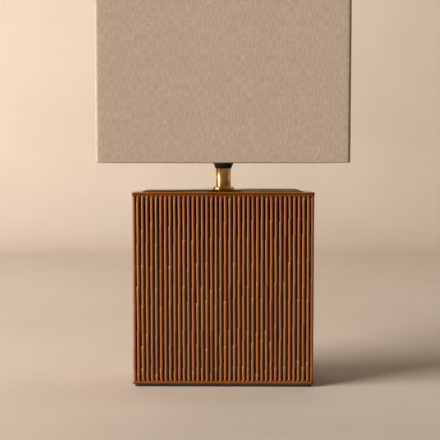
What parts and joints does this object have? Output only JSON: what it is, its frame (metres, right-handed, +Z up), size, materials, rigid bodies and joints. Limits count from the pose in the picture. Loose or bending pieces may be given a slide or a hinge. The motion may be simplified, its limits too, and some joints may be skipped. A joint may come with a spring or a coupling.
{
  "type": "table lamp",
  "caption": "Table lamp: a ribbed glazed ceramic slab body, brass neck, black lampholder and a rectangular linen drum shade.",
  "frame": {"origin": "middle of the felt's underside, where the lamp stands", "axes": "+Z up, the broad front faces -Y, X along the broad face"},
  "size_m": [0.354, 0.18, 0.5655],
  "materials": {
    "amber_glaze": "glossy amber to brown glaze that runs off the ribs and pools dark between them",
    "base_board": "raw fibreboard",
    "felt": "dark wool felt",
    "black_rubber": "matt",
    "zinc_steel": "zinc plated",
    "polished_brass": "polished and lacquered",
    "black_plastic": "moulded, satin",
    "steatite": "unglazed, off-white",
    "contact_brass": "plain",
    "white_wire": "powder coated white",
    "white_lining": "matt styrene film",
    "oatmeal_linen": "slubbed plain weave",
    "nickel_shell": "bright",
    "dark_glass": "fused dark glass",
    "white_plastic": "moulded",
    "circuit_board": "solder mask",
    "phosphor": "silicone with phosphor",
    "opal_diffuser": "opal"
  },
  "bodies": {
    "lamp": {"ceramic_body": "amber_glaze", "base_board": "base_board", "base_felt": "felt", "cable_grommet": "black_rubber", "hollow_rod": "zinc_steel", "rod_cushion": "black_rubber", "rod_washer": "zinc_steel", "rod_lock_washer": "zinc_steel", "rod_nut": "zinc_steel", "neck_flange": "polished_brass", "neck_tube": "polished_brass", "holder_cap": "black_plastic", "holder_lock_screw": "zinc_steel", "holder_insert": "steatite", "holder_terminals": "contact_brass", "holder_centre_contact": "contact_brass", "holder_side_contact": "contact_brass", "holder_shell": "black_plastic"},
    "shade": {"shade_frame": "white_wire", "shade_top_wire": "white_wire", "shade_lining": "white_lining", "shade_linen": "oatmeal_linen"},
    "clamp_ring": {"shade_ring": "black_plastic"},
    "bulb": {"bulb_screw": "nickel_shell", "bulb_insulator": "dark_glass", "bulb_tip": "contact_brass", "bulb_collar": "white_plastic", "bulb_driver_board": "circuit_board", "bulb_led_board": "circuit_board", "bulb_leds": "phosphor", "bulb_envelope": "opal_diffuser"}
  },
  "joints": [
    {"name": "shade_turn", "type": "hinge", "parent": "lamp", "child": "shade", "pos_m": [0, 0, 0.3472], "axis": [0, 0, 1], "continuous": true},
    {"name": "ring_unscrew", "type": "hinge", "parent": "lamp", "child": "clamp_ring", "pos_m": [0, 0, 0.3522], "axis": [0, 0, 1], "range_deg": [0, 1080]},
    {"name": "bulb_unscrew", "type": "hinge", "parent": "lamp", "child": "bulb", "pos_m": [0, 0, 0.3622], "axis": [0, 0, 1], "range_deg": [0, 1800]}
  ]
}
